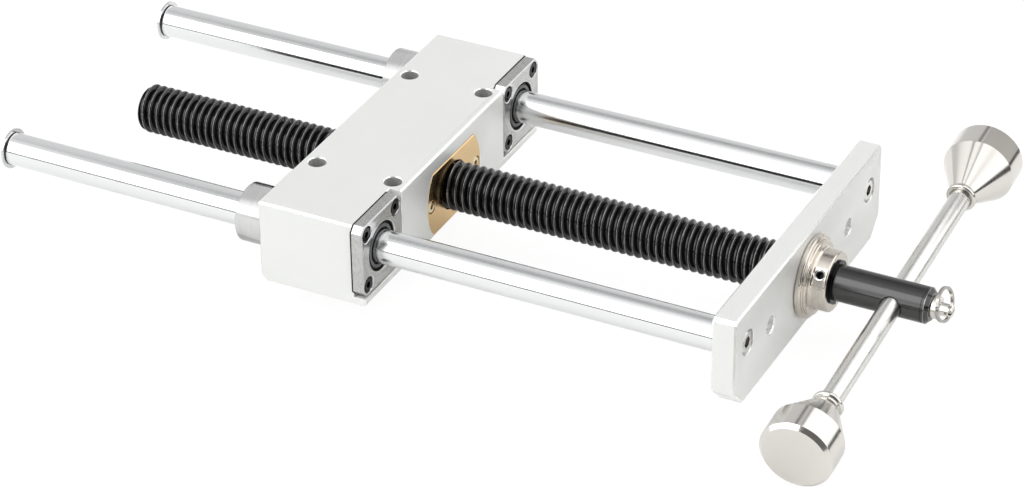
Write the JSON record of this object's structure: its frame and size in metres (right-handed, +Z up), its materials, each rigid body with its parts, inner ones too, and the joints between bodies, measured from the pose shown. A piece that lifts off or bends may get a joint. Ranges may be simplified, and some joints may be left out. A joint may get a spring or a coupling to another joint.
{
  "type": "woodworking front vise",
  "caption": "Bench front vise: guide block for the bench underside, two chromed rods on ball bushings, trapezoidal screw, front plate, collar and sliding T-handle.",
  "frame": {"origin": "centre of the guide block's top face, which bolts up under the bench top", "axes": "+Z up out of the bench face, +Y from the front plate towards the rear ends of the rods, +X to the right seen from the handle"},
  "size_m": [0.2368, 0.454, 0.059],
  "materials": {
    "anodised_aluminium": "satin anodised, milled edges",
    "ground_steel": "ground",
    "hard_chrome": "hard chromed, polished",
    "black_oxide_steel": "black oxide, oiled",
    "brass": "turned",
    "bronze": "sintered",
    "turned_nickel": "turned, nickel plated",
    "brushed_stainless": "brushed",
    "polished_stainless": "polished",
    "spring_steel": "bright, stamped",
    "nitrile_rubber": "moulded",
    "cage_polymer": "moulded",
    "bearing_balls": "polished"
  },
  "bodies": {
    "block": {"guide_block": "anodised_aluminium", "bearing_shell_left": "ground_steel", "bearing_shell_right": "ground_steel", "ball_cage_left": "cage_polymer", "ball_cage_right": "cage_polymer", "ball_rows_left": "bearing_balls", "ball_rows_right": "bearing_balls", "bearing_seals_left": "nitrile_rubber", "bearing_seals_right": "nitrile_rubber", "bearing_screws_left": "black_oxide_steel", "bearing_screws_right": "black_oxide_steel", "screw_nut": "brass", "nut_screws": "brass"},
    "jaw": {"front_plate": "anodised_aluminium", "guide_rod_left": "hard_chrome", "guide_rod_right": "hard_chrome", "rod_screws": "polished_stainless", "retaining_ring_left": "spring_steel", "retaining_ring_right": "spring_steel", "spindle_bush": "bronze", "thrust_washer": "bronze"},
    "screw": {"lead_screw": "black_oxide_steel", "thrust_collar": "turned_nickel", "collar_grub_screw": "black_oxide_steel", "spindle_snap_ring": "black_oxide_steel"},
    "handle": {"handle_bar": "brushed_stainless", "handle_knob_left": "polished_stainless", "handle_knob_right": "polished_stainless"},
    "lock": {"lock_stud": "polished_stainless", "lock_disc": "polished_stainless", "lock_pin": "polished_stainless"}
  },
  "joints": [
    {"name": "jaw_slide", "type": "slide", "parent": "block", "child": "jaw", "axis": [0, 1, 0], "range_m": [-0.13, 0.17]},
    {"name": "screw_spin", "type": "hinge", "parent": "jaw", "child": "screw", "pos_m": [0, -0.2094, -0.0247], "axis": [0, 1, 0], "range_deg": [-11700, 15300]},
    {"name": "handle_slide", "type": "slide", "parent": "screw", "child": "handle", "axis": [0.9942, 0, 0.108], "range_m": [-0.068, 0.068]},
    {"name": "lock_turn", "type": "hinge", "parent": "screw", "child": "lock", "pos_m": [0, -0.2661, -0.0247], "axis": [0, 1, 0], "range_deg": [-360, 0]}
  ],
  "couplings": [
    {"joint": "jaw_slide", "follows": "screw_spin", "m_per_rad": 0.00063662}
  ]
}
